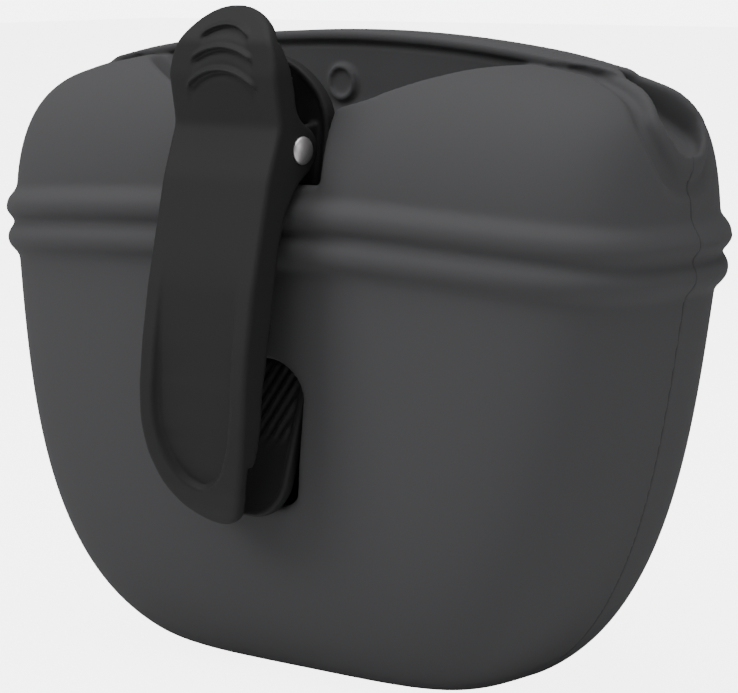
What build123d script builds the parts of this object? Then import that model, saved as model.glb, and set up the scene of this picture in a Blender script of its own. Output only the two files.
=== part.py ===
from build123d import *
from math import copysign, cos, pi, sin, sqrt
import os

# Belt-clip treat pouch: a one-piece moulded silicone pouch whose two lips close on a pair of
# magnets, with a sprung plastic belt clip threaded through two slots in its back wall.
#
# Millimetres. The origin is the centre of the small flat that the pouch stands on. +X runs
# along the mouth, -Y is the clip side, +Z is up, and y = 0 is the mould's parting plane.

# ---- driving dimensions: pouch ----
belt_height = 72.5          # base to the groove between the two ribs
dome_height = 28.6          # groove to the top of the dome, under the mouth bead
half_width = 64.4           # at the groove
back_depth = 25.4           # parting plane to the flat back, at the groove
front_depth = 31.0          # parting plane to the rounder front, at the groove
wall = 2.6
width_taper = 0.165         # half width lost for each millimetre below the groove
back_swell = 0.09           # back depth gained for each millimetre below the groove
side_round = 3.8            # power of the curve that closes the sides into the base
depth_round = 2.9           # power of the curve that closes the front and back into the base
base_cut = 0.985            # share of the full rounded drop that the base flat leaves
dome_round = 2.4            # power of the dome's front-to-back curve
ridge_fall = 0.0019         # how fast the mouth line drops towards the ends, per mm squared
back_power = 4.2            # level sections: nearly flat behind
front_power = 2.35          # and rounder in front
top_power = 2.2             # both, at the top of the dome
corner_power = 6            # how tightly the sides turn into the mouth line
ridge_margin = 0.6          # the mouth line's arch would peak this much over the dome

# ribs round the pouch
rib_pitch = 5.4
rib_width = 4.8
rib_proud = 1.9
rib_round = 1.3
rib_fall = 3.0              # how much lower the ribs lie at the ends than in the middle
rib_reach = 66.0            # half width over which that fall is measured
rib_levels = (-16, -8, 0, 6, 12)    # sections of the band that the ribs are cut from, over the groove

# mouth and lips
flex_height = 17.0          # groove to the line that the lips bend on
flex_gap = 0.3
slit = 0.3                  # between the two lips
flange = 3.4                # parting plane to the outer face of a lip's flange
bead_proud = 0.9            # how far the bead stands out behind the flange
bead_rise = 1.2             # and above the dome
bead_tall = 2.4
bead_round = 0.7
bead_reach = 50.0           # half length of the mouth line
scoop_half = 49.0           # half length of the finger scoop at the top
scoop_depth = 24.0          # flange to the scoop's outer edge
scoop_floor = 13.8          # groove to the bottom of the scoop
scoop_over = 4.0            # how far its widest section lies over the dome
scoop_levels = ((0, 0.24, 0.62), (0.08, 0.4, 0.78), (0.34, 0.64, 0.92), (1, 1, 1))  # shares of its
                            # height, and of its half length and depth at that height
scoop_shoulder = (0.72, 0.62)       # a point of each section's curve, as shares of the same two
end_pocket_radius = 5.0     # teardrop recess at each end of the mouth
end_pocket_tip = 0.8        # half width of its narrow end
end_pocket_length = 16.4
end_pocket_depth = 1.6      # floor below the chord from its top to its bottom
end_pocket_top = (52.0, 23.7)       # its top point: distance from the middle, height over groove
end_pocket_foot = (65.0, 14.0)      # and its lowest point

# magnets, one let into the closing face of each lip
magnet_radius = 2.25
magnet_thick = 1.8
magnet_height = 21.6        # groove to the magnets' centre
magnet_sink = 0.15          # below the lip's closing face
magnet_boss_radius = 2.9
magnet_boss_proud = 0.9

# ---- driving dimensions: clip ----
lever_half = 10.95
lever_top = 34.4            # above the groove
lever_foot = -44.8
lever_taper = 20.0          # height of the half ellipse that ends the jaw
lever_skin = 2.0
lever_side = 1.8
lever_recess = 1.2          # depth of the long shallow panel on the jaw
lever_margin = 3.0          # border left beside that panel
lever_foot_margin = 6.3     # and under it
panel_top = -3.0            # above the groove
ridge_proud = 0.6
ridge_width = 1.3
pad_ridges = ((32.3, 5.2, 2.3), (28.3, 6.6, 2.1), (25.0, 7.5, 3.0))  # top, half length, drop
pin_y = -25.4
pin_height = 12.5           # above the groove
pin_radius = 1.25
pin_running_clearance = 0.05
pin_head_radius = 2.35
pin_head_thick = 1.0
ear_radius = 3.3
ear_gap = 0.35              # between the lever's ears and the base's ears
lever_ear_root = ((-29.5, 7.0), (-29.5, -9.0))      # where an ear leaves the jaw: y, height over the pin
base_ear_root = ((-18.5, 6.5), (-19.5, -7.5))       # and where one leaves the base
base_half = 11.2
base_thick = 2.4
base_top = 26.8             # above the groove
base_foot = -43.6
base_foot_round = 5.5
base_ear_thick = 1.6
spring_wire = 0.8
spring_radius = 2.3
spring_pitch = 1.05
spring_turns = 6
lever_leg_end = (-28.2, 22.5)       # where each leg of the spring presses: y, height over the groove
base_leg_end = (-20.7, 22.0)

# side-view curves of the clip: y, height over the groove
lever_face_curve = (
    (-27.4, 34.6), (-30.4, 29.0), (-31.0, 23.5), (-30.5, 16.3), (-33.1, 8.4), (-36.9, -7.8),
    (-39.2, -25.0), (-37.9, -37.0), (-32.6, -45.0),
)
lever_rear_curve = (
    (-26.9, 34.6), (-28.3, 28.0), (-26.6, 21.0), (-26.2, 12.5), (-28.4, 5.0), (-30.4, -1.5),
    (-32.2, -12.0), (-34.6, -24.0), (-35.0, -34.0), (-31.4, -44.6),
)
base_rear_curve = (
    (-19.6, 26.8), (-17.7, 20.0), (-17.4, 15.5), (-18.3, 8.0), (-20.2, -6.0), (-22.3, -20.9),
    (-26.2, -38.1), (-27.8, -43.6),
)

# slots in the back wall
slot_clearance = 1.0        # each side of the clip's base
strap_clearance = 0.35      # ahead of and behind the base, where it runs under the wall
notch_half = 13.6           # upper slot, wide enough for the lever's ears
notch_foot = 7.2            # above the groove
slot_top = -20.0
slot_foot = -42.0
slot_round = 3.0
slot_reach = 12.0           # behind and ahead of the pin, the depth that a slot's cutter spans

groove = belt_height
dome_top = groove + dome_height
flex_z = groove + flex_height
pin_z = groove + pin_height
magnet_z = groove + magnet_height
ridge_height = dome_height + ridge_margin
section_count = 8           # level sections above the groove, and as many below
section_points = 36
beyond = 60.0               # how far a cutter runs past what it cuts


# ---- level sections of the pouch ----
def level(height, inset):
    """Half width, back depth, front depth and roundness of the section at a height."""
    above = height - groove
    if above <= 0:
        drop = -above
        share = drop / belt_height * base_cut
        side = (1 - share ** side_round) ** (1 / side_round)
        depth = (1 - share ** depth_round) ** (1 / depth_round)
        across = (half_width - width_taper * drop) * side
        behind = (back_depth + back_swell * drop) * depth
        powers = (back_power, front_power)
    else:
        arch = sqrt((ridge_height - above) / ridge_fall)
        across = (half_width ** -corner_power + arch ** -corner_power) ** (-1 / corner_power)
        depth = (1 - (above / ridge_height) ** dome_round) ** (1 / dome_round)
        behind = back_depth * depth
        blend = (above / ridge_height) ** 2
        powers = [p + (top_power - p) * blend for p in (back_power, front_power)]
    return across - inset, behind - inset, front_depth * depth - inset, powers


def section(height, inset):
    """Points of the closed level section at a height, moved inwards by inset."""
    across, back, front, (power_behind, power_ahead) = level(height, inset)
    outline = []
    for step in range(section_points):
        turn = 2 * pi * step / section_points
        power = power_ahead if sin(turn) >= 0 else power_behind
        reach = front if sin(turn) >= 0 else back
        x = copysign(across * abs(cos(turn)) ** (2 / power), cos(turn))
        y = copysign(reach * abs(sin(turn)) ** (2 / power), sin(turn))
        outline.append((x, y))
    return outline


def heights(low, high):
    """Section heights, closer together towards the base and the top."""
    turns = [step * pi / 2 / section_count for step in range(section_count + 1)]
    below = [groove - (groove - low) * sin(turn) for turn in reversed(turns)]
    above = [groove + (high - groove) * sin(turn) for turn in turns[1:]]
    return below + above


def pouch_loft(levels, inset, lift=0.0):
    """Solid through the level sections; lift samples them higher, for the dome's inside."""
    with BuildPart() as body:
        for height in levels:
            with BuildSketch(Plane.XY.offset(height)):
                with BuildLine():
                    Spline(*section(height + lift * max(0, height - groove), inset), periodic=True)
                make_face()
        loft()
    return body.part


def arch_strip(middle, half_tall, fall, reach, half_deep):
    """Arched band seen from the front, as deep as the pouch."""
    past = 1.2              # the strip runs this share beyond its reach
    ends = middle - fall * past ** 2
    span = reach * past
    with BuildPart() as strip:
        with BuildSketch(Plane.XZ):
            with BuildLine():
                upper = ThreePointArc(
                    (-span, ends + half_tall), (0, middle + half_tall), (span, ends + half_tall)
                )
                lower = ThreePointArc(
                    (-span, ends - half_tall), (0, middle - half_tall), (span, ends - half_tall)
                )
                Line(upper @ 0, lower @ 0)
                Line(upper @ 1, lower @ 1)
            make_face()
        extrude(amount=half_deep, both=True)
    return strip.part


def scoop_bowl(grow):
    """The hollow behind the mouth, a bowl that widens upwards, made larger by grow."""
    front_y = -flange + grow
    rim = dome_top + scoop_over
    floor = groove + scoop_floor - grow
    beside, behind = scoop_shoulder
    with BuildPart() as bowl:
        for share, wide, deep in scoop_levels:
            half = scoop_half * wide + grow
            reach = scoop_depth * deep + 2 * grow
            with BuildSketch(Plane.XY.offset(floor + (rim - floor) * share)):
                with BuildLine():
                    back = Spline(
                        (-half, front_y),
                        (-half * beside, front_y - reach * behind),
                        (0, front_y - reach),
                        (half * beside, front_y - reach * behind),
                        (half, front_y),
                    )
                    Line(back @ 0, back @ 1)
                make_face()
        loft()
    return bowl.part


def end_pocket(grow):
    """Teardrop recess at the right-hand end of the mouth, made larger by grow."""
    top = Vector(end_pocket_top[0], 0, groove + end_pocket_top[1])
    foot = Vector(end_pocket_foot[0], 0, groove + end_pocket_foot[1])
    along = (foot - top).normalized()
    outward = Vector(-along.Z, 0, along.X)
    plane = Plane(origin=top - outward * (end_pocket_depth + grow), x_dir=along, z_dir=outward)
    radius = end_pocket_radius + grow
    tip = end_pocket_tip + grow
    centre = end_pocket_length - end_pocket_radius
    with BuildPart() as pocket:
        with BuildSketch(plane):
            with Locations((centre, 0)):
                Circle(radius)
            with BuildLine():
                Polyline((centre, radius), (-grow, tip), (-grow, -tip), (centre, -radius), close=True)
            make_face()
        extrude(amount=2 * end_pocket_radius)
    return pocket.part


# ---- pouch moulding, whole ----
outer = pouch_loft(heights(0, dome_top), 0)
inner = pouch_loft(heights(wall, dome_top - wall), wall, wall / (dome_height - wall))

rib_band = pouch_loft([groove + rise for rise in rib_levels], -rib_proud)
ribs = []
for side in (-1, 1):
    with BuildPart() as rib:
        add(rib_band)
        add(
            arch_strip(groove + side * rib_pitch / 2, rib_width / 2, rib_fall, rib_reach, beyond),
            mode=Mode.INTERSECT,
        )
        fillet(rib.edges(), rib_round)
    ribs.append(rib.part)

with BuildPart() as cavity:
    add(inner)
    with Locations((0, 0, flex_z + dome_height)):
        Box(4 * half_width, 2 * flange, 2 * dome_height, mode=Mode.SUBTRACT)
    add(scoop_bowl(wall), mode=Mode.SUBTRACT)
    add(end_pocket(wall), mode=Mode.SUBTRACT)
    add(mirror(end_pocket(wall), about=Plane.YZ), mode=Mode.SUBTRACT)

with BuildPart() as mouth_bead:
    add(
        arch_strip(
            dome_top + bead_rise - bead_tall / 2, bead_tall / 2, ridge_fall * bead_reach ** 2,
            bead_reach, flange + bead_proud,
        )
    )
    with Locations((0, 0, dome_top)):
        Box(2 * bead_reach, 8 * flange, 4 * dome_height, mode=Mode.INTERSECT)
    fillet(mouth_bead.edges().filter_by(Plane.XZ), bead_round)

with BuildPart() as moulding:
    add(outer)
    add(ribs)
    add(scoop_bowl(0), mode=Mode.SUBTRACT)
    add(mouth_bead.part)
    add(cavity.part, mode=Mode.SUBTRACT)
    add(end_pocket(0), mode=Mode.SUBTRACT)
    add(mirror(end_pocket(0), about=Plane.YZ), mode=Mode.SUBTRACT)


# ---- slabs between side-view curves of the clip ----
def moved(points, shift):
    """Side-view points moved along Y, with their heights taken from the base."""
    return [(y + shift, groove + z) for y, z in points]


def profile_slab(ahead, behind, half):
    """Slab across the clip between two side-view curves."""
    with BuildPart() as slab:
        with BuildSketch(Plane.YZ):
            with BuildLine():
                first = Spline(*ahead)
                second = Spline(*behind)
                Line(first @ 0, second @ 0)
                Line(first @ 1, second @ 1)
            make_face()
        extrude(amount=half, both=True)
    return slab.part


# ---- pouch: the body, and the two lips that bend on the line above the ribs ----
def below_flex(piece):
    """The moulding under the lips, closed again between them."""
    with BuildPart() as kept:
        add(piece)
        split(bisect_by=Plane.XY.offset(flex_z), keep=Keep.BOTTOM)
    return kept.part


def slot_box(half, low, high):
    """Cutter for a slot through the back wall, rounded as seen from behind."""
    with BuildPart() as cutter:
        with BuildSketch(Plane.XZ.offset(-pin_y - slot_reach)):
            with Locations((0, groove + (low + high) / 2)):
                RectangleRounded(2 * half, high - low, slot_round)
        extrude(amount=2 * slot_reach)
    return cutter.part


with BuildPart() as pouch_body:
    add(below_flex(moulding.part))
    add(slot_box(base_half + slot_clearance, slot_foot, slot_top), mode=Mode.SUBTRACT)
    add(slot_box(notch_half, notch_foot, dome_height), mode=Mode.SUBTRACT)
    add(
        profile_slab(
            moved(base_rear_curve, strap_clearance),
            moved(base_rear_curve, -base_thick - strap_clearance),
            base_half + slot_clearance,
        ),
        mode=Mode.SUBTRACT,
    )

def lip(side):
    """One lip: behind the mouth line for side -1, in front of it for side 1."""
    face = Plane(origin=(0, side * slit / 2, magnet_z), z_dir=(0, side, 0), x_dir=(1, 0, 0))
    with BuildPart() as half:
        add(moulding.part)
        split(bisect_by=Plane.XY.offset(flex_z + flex_gap), keep=Keep.TOP)
        with BuildSketch(face):
            Circle(magnet_boss_radius)
        extrude(amount=flange + magnet_boss_proud - slit / 2)
        with Locations((0, -side * beyond, flex_z)):
            Box(4 * half_width, 2 * beyond + slit, 4 * dome_height, mode=Mode.SUBTRACT)
        with BuildSketch(face):
            Circle(magnet_radius)
        extrude(amount=magnet_sink + magnet_thick, mode=Mode.SUBTRACT)
    return half.part


def magnet(side):
    """Disc magnet, flush under a lip's closing face."""
    face = Plane(
        origin=(0, side * (slit / 2 + magnet_sink), magnet_z), z_dir=(0, side, 0), x_dir=(1, 0, 0)
    )
    with BuildPart() as disc:
        with BuildSketch(face):
            Circle(magnet_radius)
        extrude(amount=magnet_thick)
    return disc.part


# ---- clip ----
def plate_outline(half, low, high):
    """Upright bar seen from the front, with a half-round top and two rounded corners below."""
    with BuildPart() as bar:
        with BuildSketch(Plane.XZ):
            with Locations((0, (low + high - half) / 2)):
                Rectangle(2 * half, high - half - low)
            with Locations((0, high - half)):
                Circle(half)
            fillet(vertices().group_by(Axis.Y)[0], base_foot_round)
        extrude(amount=beyond)
    return bar.part


def tongue(half, low, high, taper):
    """Upright bar seen from the front, with a half-round top and a half-elliptical foot."""
    straight_low, straight_high = low + taper, high - half
    with BuildPart() as bar:
        with BuildSketch(Plane.XZ):
            with Locations((0, (straight_low + straight_high) / 2)):
                Rectangle(2 * half, straight_high - straight_low)
            with Locations((0, straight_high)):
                Circle(half)
            with Locations((0, straight_low)):
                Ellipse(half, taper)
        extrude(amount=beyond)
    return bar.part


def on_pin(half, radius, start=0.0):
    """Pair of discs on the pin's axis, from start to half on each side."""
    with BuildPart() as discs:
        for side in (-1, 1):
            with BuildSketch(Plane.YZ.offset(side * start)):
                with Locations((pin_y, pin_z)):
                    Circle(radius)
            extrude(amount=side * (half - start))
    return discs.part


def ears(start, thick, root):
    """Pair of ears round the pin, each from start outwards, that widen to their roots."""
    (upper_y, upper), (lower_y, lower) = root
    with BuildPart() as pair:
        for side in (-1, 1):
            with BuildSketch(Plane.YZ.offset(side * start)):
                with BuildLine():
                    Polyline(
                        (pin_y, pin_z + ear_radius), (upper_y, pin_z + upper),
                        (lower_y, pin_z + lower), (pin_y, pin_z - ear_radius), close=True,
                    )
                make_face()
                with Locations((pin_y, pin_z)):
                    Circle(ear_radius)
            extrude(amount=side * thick)
    return pair.part


lever_face = moved(lever_face_curve, 0)
under_skin = moved(lever_face_curve, lever_skin)
past_rear = moved(lever_face_curve, 7 * lever_skin)

with BuildPart() as jaw_panel:
    add(
        profile_slab(
            moved(lever_face_curve, -lever_recess), moved(lever_face_curve, lever_recess), lever_half
        )
    )
    add(
        tongue(
            lever_half - lever_margin, groove + lever_foot + lever_foot_margin, groove + panel_top,
            lever_taper - lever_foot_margin,
        ),
        mode=Mode.INTERSECT,
    )

with BuildPart() as ridge_arcs:
    for top, half, drop in pad_ridges:
        ends = groove + top - drop
        with BuildSketch(Plane.XZ):
            with BuildLine():
                ThreePointArc((-half, ends), (0, groove + top), (half, ends))
                offset(amount=ridge_width / 2)
            make_face()
        extrude(amount=beyond)

with BuildPart() as grip_ridges:
    add(
        profile_slab(
            moved(lever_face_curve, -ridge_proud), moved(lever_face_curve, lever_skin / 2), lever_half
        )
    )
    add(ridge_arcs.part, mode=Mode.INTERSECT)

with BuildPart() as clip_lever:
    add(profile_slab(lever_face, moved(lever_rear_curve, 0), lever_half))
    add(ears(lever_half - lever_side, lever_side, lever_ear_root))
    add(profile_slab(under_skin, past_rear, lever_half - lever_side), mode=Mode.SUBTRACT)
    add(tongue(lever_half, groove + lever_foot, groove + lever_top, lever_taper), mode=Mode.INTERSECT)
    add(jaw_panel.part, mode=Mode.SUBTRACT)
    add(grip_ridges.part)
    add(on_pin(2 * lever_half, pin_radius + pin_running_clearance), mode=Mode.SUBTRACT)

base_ear_half = lever_half - lever_side - ear_gap

with BuildPart() as clip_base:
    add(profile_slab(moved(base_rear_curve, 0), moved(base_rear_curve, -base_thick), base_half))
    add(plate_outline(base_half, groove + base_foot, groove + base_top), mode=Mode.INTERSECT)
    add(ears(base_ear_half - base_ear_thick, base_ear_thick, base_ear_root))
    add(on_pin(lever_half, pin_radius), mode=Mode.SUBTRACT)

with BuildPart() as clip_pin:
    add(on_pin(lever_half + pin_running_clearance + pin_head_thick / 2, pin_radius))
    for side in (-1, 1):
        with BuildSketch(Plane.YZ.offset(side * (lever_half + pin_running_clearance))):
            with Locations((pin_y, pin_z)):
                Circle(pin_head_radius)
        extrude(amount=side * pin_head_thick)
    fillet(clip_pin.edges().sort_by(Axis.X)[0], pin_head_thick * 0.6)
    fillet(clip_pin.edges().sort_by(Axis.X)[-1], pin_head_thick * 0.6)

spring_half = spring_pitch * spring_turns / 2

# the wound part is one sleeve as long and as thick as its turns; the two legs run out of it
with BuildPart() as clip_spring:
    add(on_pin(spring_half, spring_radius + spring_wire / 2))
    add(on_pin(spring_half, spring_radius - spring_wire / 2), mode=Mode.SUBTRACT)
    for side, (end_y, end_z) in ((-1, lever_leg_end), (1, base_leg_end)):
        start = Vector(side * (spring_half - spring_wire), pin_y, pin_z + spring_radius)
        end = Vector(start.X, end_y, groove + end_z)
        with BuildSketch(Plane(origin=start, z_dir=end - start)):
            Circle(spring_wire / 2)
        extrude(amount=(end - start).length)

os.makedirs("parts", exist_ok=True)
pieces = {
    "pouch_body": pouch_body.part,
    "back_lip": lip(-1),
    "front_lip": lip(1),
    "back_magnet": magnet(-1),
    "front_magnet": magnet(1),
    "clip_lever": clip_lever.part,
    "clip_base": clip_base.part,
    "clip_pin": clip_pin.part,
    "clip_spring": clip_spring.part,
}
for node, piece in pieces.items():
    piece.label = node
    export_step(piece, f"parts/{node}.step")
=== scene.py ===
"""Belt-clip treat pouch: its soft moulding, its sprung clip and a plain studio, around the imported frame."""

from math import cos, pi, radians, sin, sqrt

import bpy
import numpy as np
from bpy.props import FloatProperty, FloatVectorProperty, PointerProperty
from mathutils import Matrix, Vector


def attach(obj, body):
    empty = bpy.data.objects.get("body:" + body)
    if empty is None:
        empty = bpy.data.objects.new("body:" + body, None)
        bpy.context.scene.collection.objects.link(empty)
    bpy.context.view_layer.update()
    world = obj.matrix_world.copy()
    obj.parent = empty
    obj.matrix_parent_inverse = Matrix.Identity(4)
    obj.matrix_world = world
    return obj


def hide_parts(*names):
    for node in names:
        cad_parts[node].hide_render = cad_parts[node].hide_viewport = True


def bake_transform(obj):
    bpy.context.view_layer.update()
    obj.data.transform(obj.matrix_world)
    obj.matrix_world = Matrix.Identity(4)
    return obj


bl_info = {
    "name": "Treat Pouch",
    "version": (1, 0, 0),
    "blender": (4, 5, 0),
    "location": "View3D > Sidebar > Treat Pouch",
    "description": "Builds a silicone treat pouch with magnetic lips and a sprung belt clip",
    "category": "Object",
}

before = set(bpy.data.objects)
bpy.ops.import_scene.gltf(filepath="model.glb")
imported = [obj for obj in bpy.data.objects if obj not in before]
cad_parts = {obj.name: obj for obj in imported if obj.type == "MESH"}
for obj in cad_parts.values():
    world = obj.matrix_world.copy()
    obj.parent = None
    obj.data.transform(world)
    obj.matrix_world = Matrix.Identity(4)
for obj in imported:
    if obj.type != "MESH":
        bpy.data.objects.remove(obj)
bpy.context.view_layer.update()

MM = 0.001

# ---- pouch, in millimetres: the same values as the CAD model ----
BELT_HEIGHT = 72.5
HALF_WIDTH = 64.4
BACK_DEPTH, FRONT_DEPTH = 25.4, 31.0
WALL = 2.6
WIDTH_TAPER, BACK_SWELL = 0.165, 0.09
SIDE_ROUND, DEPTH_ROUND, BASE_CUT = 3.8, 2.9, 0.985
DOME_HEIGHT, DOME_ROUND, RIDGE_FALL, RIDGE_MARGIN = 28.6, 2.4, 0.0019, 0.6
RIDGE_HEIGHT = DOME_HEIGHT + RIDGE_MARGIN
BACK_POWER, FRONT_POWER, TOP_POWER, CORNER_POWER = 4.2, 2.35, 2.2, 6
GROOVE = BELT_HEIGHT
DOME_TOP = GROOVE + DOME_HEIGHT
FLEX = GROOVE + 17.0
FLANGE = 3.4
CREST_ROUND, FOOT_ROUND = 2.0, 4.0      # roundings over the mouth line and round the base
HOLLOW_ROUND, HOLLOW_EDGE, WALL_EDGE = 6.0, 2.0, 0.8

RIB_PITCH, RIB_RADIUS, RIB_PROUD, RIB_END_PROUD = 5.4, 2.45, 1.9, 1.5
RIB_FALL, RIB_REACH, RIB_BLEND = 3.0, 66.0, 1.3

SLIT_HALF, SEAM_HALF, SEAM_ROUND = 0.15, -0.02, 0.08    # half the gap in the mouth and in the body
SEAM_RISE = 4.0             # height under the bending line over which one becomes the other
BEAD_HALF_TALL, BEAD_LIFT, BEAD_OUT, BEAD_ROUND = 0.85, 0.35, 4.3, 0.7
BEAD_REACH, BEAD_TAPER, BEAD_END_OUT = 54.0, (38.0, 52.0), 2.6
BEAD_FADE, BEAD_EDGE = 3.0, 0.35
# the fine groove under the bead, which moves out beside it where the hollow behind the mouth ends
LINE_IN, LINE_SHIFT, LINE_DROP, LINE_SINK = 0.6, 0.95, 0.85, 0.05
LINE_RADIUS, LINE_RISE, LINE_SPAN, LINE_EDGE = 0.55, (32.0, 38.0), 5.0, 0.5
SCOOP_HALF, SCOOP_DEPTH, SCOOP_FLOOR, SCOOP_OVER = 49.0, 24.0, 13.8, 4.0
SCOOP_LEVELS = (0, 0.08, 0.34, 1)       # shares of its height, then of its width and its depth there
SCOOP_WIDE, SCOOP_DEEP = (0.24, 0.4, 0.64, 1), (0.62, 0.78, 0.92, 1)
SCOOP_POWER, SCOOP_SHOULDER, SCOOP_HEEL, SCOOP_EDGE = 1.75, 3.0, 6.0, 0.9
POCKET_TOP, POCKET_FOOT = (52.0, 23.7), (65.0, 14.0)
POCKET_RADIUS, POCKET_TIP, POCKET_SINK, POCKET_ROUND, POCKET_EDGE = 5.0, 0.8, 2.8, 1.0, 0.6
POCKET_LEAN = 0.97          # cosine of the slant of its two long sides
# round the recess, beads and grooves: distance out, height over the skin, radius, start along it, edge
RIM_OUT, RIM_LIFT, RIM_RADIUS, RIM_START, RIM_EDGE = 0.8, -0.1, 1.05, (-9.0, 1.0), 0.5
VALLEY_OUT, VALLEY_LIFT, VALLEY_RADIUS, VALLEY_START, VALLEY_EDGE = 3.0, 0.4, 1.4, (-9.0, 2.0), 0.9
RIM_DEPTH, RIM_FADE = 7.0, 2.0

FINENESS = ((GROOVE + 21, 0.5), (GROOVE - 9, 0.78), (-9, 1.25))     # grid step's share above a height

MAGNET_Z = GROOVE + 21.6
MAGNET_RADIUS, MAGNET_THICK, MAGNET_SINK = 2.25, 1.8, 0.15
MAGNET_GAP, MAGNET_EDGE = 0.05, 0.3
BOSS_RADIUS, BOSS_OUT, BOSS_EDGE = 2.9, 4.3, 0.5
DIMPLE_RIM, DIMPLE_DEPTH, DIMPLE_ROUND, DIMPLE_EDGE = 0.8, 0.6, 0.4, 0.3

# ---- clip, in millimetres ----
PIN_Y, PIN_Z = -25.4, GROOVE + 12.5
PIN_RADIUS, PIN_CLEAR = 1.25, 0.05
PIN_HEAD_RADIUS, PIN_HEAD_THICK = 2.15, 0.9
LEVER_HALF, LEVER_SKIN, LEVER_SIDE = 10.95, 2.0, 1.8
LEVER_TOP, LEVER_FOOT, LEVER_TAPER = GROOVE + 34.4, GROOVE - 44.8, 20.0
PANEL_DEPTH, PANEL_MARGIN, PANEL_FOOT_MARGIN = 1.2, 3.0, 6.3
EAR_RADIUS, EAR_GAP = 3.3, 0.35
BASE_HALF, BASE_FOOT_HALF, BASE_THICK, BASE_CORNER = 11.2, 9.6, 2.4, 5.5
BASE_TOP, BASE_FOOT = GROOVE + 26.8, GROOVE - 43.6
BASE_EAR_HALF, BASE_EAR_THICK = LEVER_HALF - LEVER_SIDE - EAR_GAP, 1.6
NOTCH_HALF, NOTCH_FOOT = 13.6, GROOVE + 7.2
SLOT_CLEAR, SLOT_TOP, SLOT_FOOT = 0.9, GROOVE - 20.0, GROOVE - 42.0
TOOTH_PITCH, TOOTH_HIGH, TOOTH_SLANT = 3.2, 0.6, 1.7
SPRING_WIRE, SPRING_RADIUS, SPRING_PITCH, SPRING_TURNS, SPRING_STEPS = 0.8, 2.3, 1.05, 6, 24

# side-view curves of the clip, (y, height over the groove), from the foot up
LEVER_FACE = [
    (-32.6, -45.0), (-35.4, -42.0), (-37.3, -38.5), (-38.6, -34.0), (-39.2, -29.0), (-39.1, -23.0),
    (-38.4, -16.5), (-36.9, -7.8), (-33.1, 8.4), (-30.3, 16.3), (-31.5, 23.5), (-30.9, 29.0), (-27.4, 34.6),
]
LEVER_REAR = [
    (-31.4, -44.6), (-35.0, -34.0), (-34.6, -24.0), (-32.2, -12.0), (-30.4, -1.5), (-28.4, 5.0),
    (-26.2, 12.5), (-26.6, 21.0), (-28.3, 28.0), (-26.9, 34.6),
]
BASE_REAR = [
    (-27.8, -43.6), (-26.2, -38.1), (-22.3, -20.9), (-20.2, -6.0), (-18.3, 8.0), (-17.4, 15.5), (-17.7, 20.0),
    (-19.6, 26.8),
]
PAD_RIDGES = ((31.3, 4.9, 1.8), (27.9, 6.3, 2.0), (24.5, 7.2, 2.9))     # top, half length, drop
PAD_LIP, PAD_GUTTER = 0.7, 0.3          # a ridge's height, and the depth of the hollow under it
CLIP_EDGE, CLIP_CORNER = 0.5, 0.7       # roundings of the clip's mouldings


# name, place and size in metres, power in watts
LAMPS = (
    ("studio_top", (0.1, -0.2, 1.0), 0.9, 7.0),
    ("studio_side", (0.8, -0.1, 0.35), 0.5, 0.9),
    ("studio_key", (-0.55, -0.65, 0.75), 0.5, 4.4),
)


# ---- solids as fields: negative inside, in millimetres ----
def marks(low, high, step_at):
    """Grid marks from low to high, each a local step from the one before."""
    spots = [low]
    while spots[-1] < high:
        spots.append(spots[-1] + step_at(spots[-1]))
    return np.array(spots, np.float32)


class Block:
    """A block of space sampled on a grid whose steps may vary along each axis."""

    def __init__(self, *axes):
        self.axes = axes
        self.x, self.y, self.z = np.meshgrid(*axes, indexing="ij", sparse=True)

    def distance(self, values):
        """An implicit function's values, scaled to distances near its zero surface."""
        slopes = np.gradient(values, *self.axes)
        return values / np.maximum(length(*slopes), 1e-3)

    def lean(self, curve):
        """How much longer a side-view curve is than its height, at each height."""
        return np.sqrt(1 + np.gradient(curve, self.axes[2], axis=2) ** 2)


def both(a, b, soft):
    """Intersection with its edge rounded over about soft."""
    near = np.maximum(soft - np.abs(a - b), 0) / soft
    return np.maximum(a, b) + near * near * soft / 4


def either(a, b, soft):
    """Union with its inside corner filled over about soft."""
    return -both(-a, -b, soft)


def cut(a, b, soft):
    """a without b."""
    return both(a, -b, soft)


def ease(values, start, end):
    """0 before start, 1 after end, smooth between."""
    t = np.clip((values - start) / (end - start), 0, 1)
    return t * t * (3 - 2 * t)


def length(*parts):
    """Length of a vector given by its parts."""
    return np.sqrt(sum(p * p for p in parts))


def side_curve(points, z, soften=0.6):
    """y of a side-view curve at heights z, its corners softened."""
    ys, zs = np.array(points).T
    offsets = np.linspace(-2.5, 2.5, 21)
    weights = np.exp(-offsets ** 2 / 2)
    reach = z[..., None] - GROOVE + offsets * soften
    low = ys[0] + (reach - zs[0]) * (ys[1] - ys[0]) / (zs[1] - zs[0])
    high = ys[-1] + (reach - zs[-1]) * (ys[-1] - ys[-2]) / (zs[-1] - zs[-2])
    curve = np.where(reach < zs[0], low, np.where(reach > zs[-1], high, np.interp(reach, zs, ys)))
    return (curve * weights).sum(-1) / weights.sum()


CORNERS = np.array([(i, j, k) for i in (0, 1) for j in (0, 1) for k in (0, 1)])
CELL_EDGES = [(a, b) for a in range(8) for b in range(a) if abs(CORNERS[a] - CORNERS[b]).sum() == 1]


def sample(values, at):
    """Trilinear samples of a grid at fractional grid positions."""
    at = np.clip(at, 0, np.array(values.shape) - 1.001)
    base = at.astype(int)
    part = at - base
    total = 0
    for corner in CORNERS:
        weight = np.prod(np.where(corner, part, 1 - part), axis=1)
        total = total + weight * values[tuple((base + corner).T)]
    return total


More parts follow.
